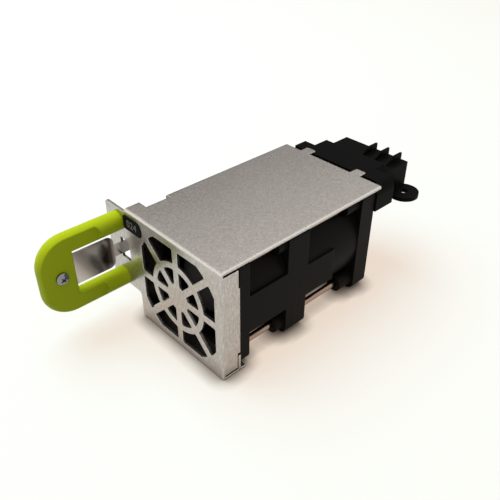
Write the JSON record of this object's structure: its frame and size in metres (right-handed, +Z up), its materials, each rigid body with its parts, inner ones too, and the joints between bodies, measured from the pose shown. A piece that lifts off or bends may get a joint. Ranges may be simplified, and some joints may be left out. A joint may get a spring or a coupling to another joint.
{
  "type": "server fan module",
  "caption": "Twin in-line axial fans riveted under a bent sheet-steel bracket with a finger grille, a pull loop with a sprung latch leaf, and a rear plug-in connector holder.",
  "frame": {"origin": "where the fans' common axis crosses the outer face of the front grille plate", "axes": "+X to the right seen from the front, +Y rearwards along the fan axis, +Z up"},
  "size_m": [0.0597, 0.1295, 0.042],
  "materials": {
    "galvanised_sheet": "zinc-coated, dull satin",
    "black_panel": "semi-gloss printed film",
    "black_plastic": "fine moulded grain",
    "impeller_plastic": "satin moulded",
    "lime_plastic": "satin moulded",
    "spring_steel": "bright rolled",
    "coppered_steel": "copper-washed, bright",
    "zinc_screw": "zinc-plated",
    "motor_steel": "plain sheet",
    "bearing_steel": "ground",
    "ferrite": "matt",
    "copper_wire": "enamelled",
    "board_green": "solder resist",
    "contact_gold": "plated"
  },
  "bodies": {
    "module": {"bracket": "galvanised_sheet", "number_panel": "black_panel", "lower_rivets": "coppered_steel", "upper_rivets": "coppered_steel", "connector_holder": "black_plastic", "connector_body": "black_plastic", "connector_contacts": "contact_gold", "finger_loop": "lime_plastic", "clamp_screw": "zinc_screw", "loop_screws": "zinc_screw", "front_fan_frame": "black_plastic", "front_bearing_outer_rings": "bearing_steel", "front_stator_core": "motor_steel", "front_coils": "copper_wire", "front_drive_board": "board_green", "rear_fan_frame": "black_plastic", "rear_bearing_outer_rings": "bearing_steel", "rear_stator_core": "motor_steel", "rear_coils": "copper_wire", "rear_drive_board": "board_green"},
    "front_rotor": {"front_impeller": "impeller_plastic", "front_rotor_yoke": "motor_steel", "front_ring_magnet": "ferrite", "front_shaft": "bearing_steel", "front_retaining_ring": "bearing_steel", "front_spacer_ring": "contact_gold", "front_bearing_inner_rings": "bearing_steel", "front_bearing_balls": "bearing_steel"},
    "rear_rotor": {"rear_impeller": "impeller_plastic", "rear_rotor_yoke": "motor_steel", "rear_ring_magnet": "ferrite", "rear_shaft": "bearing_steel", "rear_retaining_ring": "bearing_steel", "rear_spacer_ring": "contact_gold", "rear_bearing_inner_rings": "bearing_steel", "rear_bearing_balls": "bearing_steel"},
    "latch": {"latch_leaf": "spring_steel"}
  },
  "joints": [
    {"name": "front_rotor_spin", "type": "hinge", "parent": "module", "child": "front_rotor", "pos_m": [0, 0.0208, 0], "axis": [0, 1, 0], "continuous": true},
    {"name": "rear_rotor_spin", "type": "hinge", "parent": "module", "child": "rear_rotor", "pos_m": [0, 0.0524, 0], "axis": [0, 1, 0], "continuous": true},
    {"name": "latch_release", "type": "hinge", "parent": "module", "child": "latch", "pos_m": [-0.0296, -0.0237, 0.0044], "axis": [0, 0, -1], "range_deg": [0, 4], "stiffness_Nm_per_rad": 1.2}
  ]
}
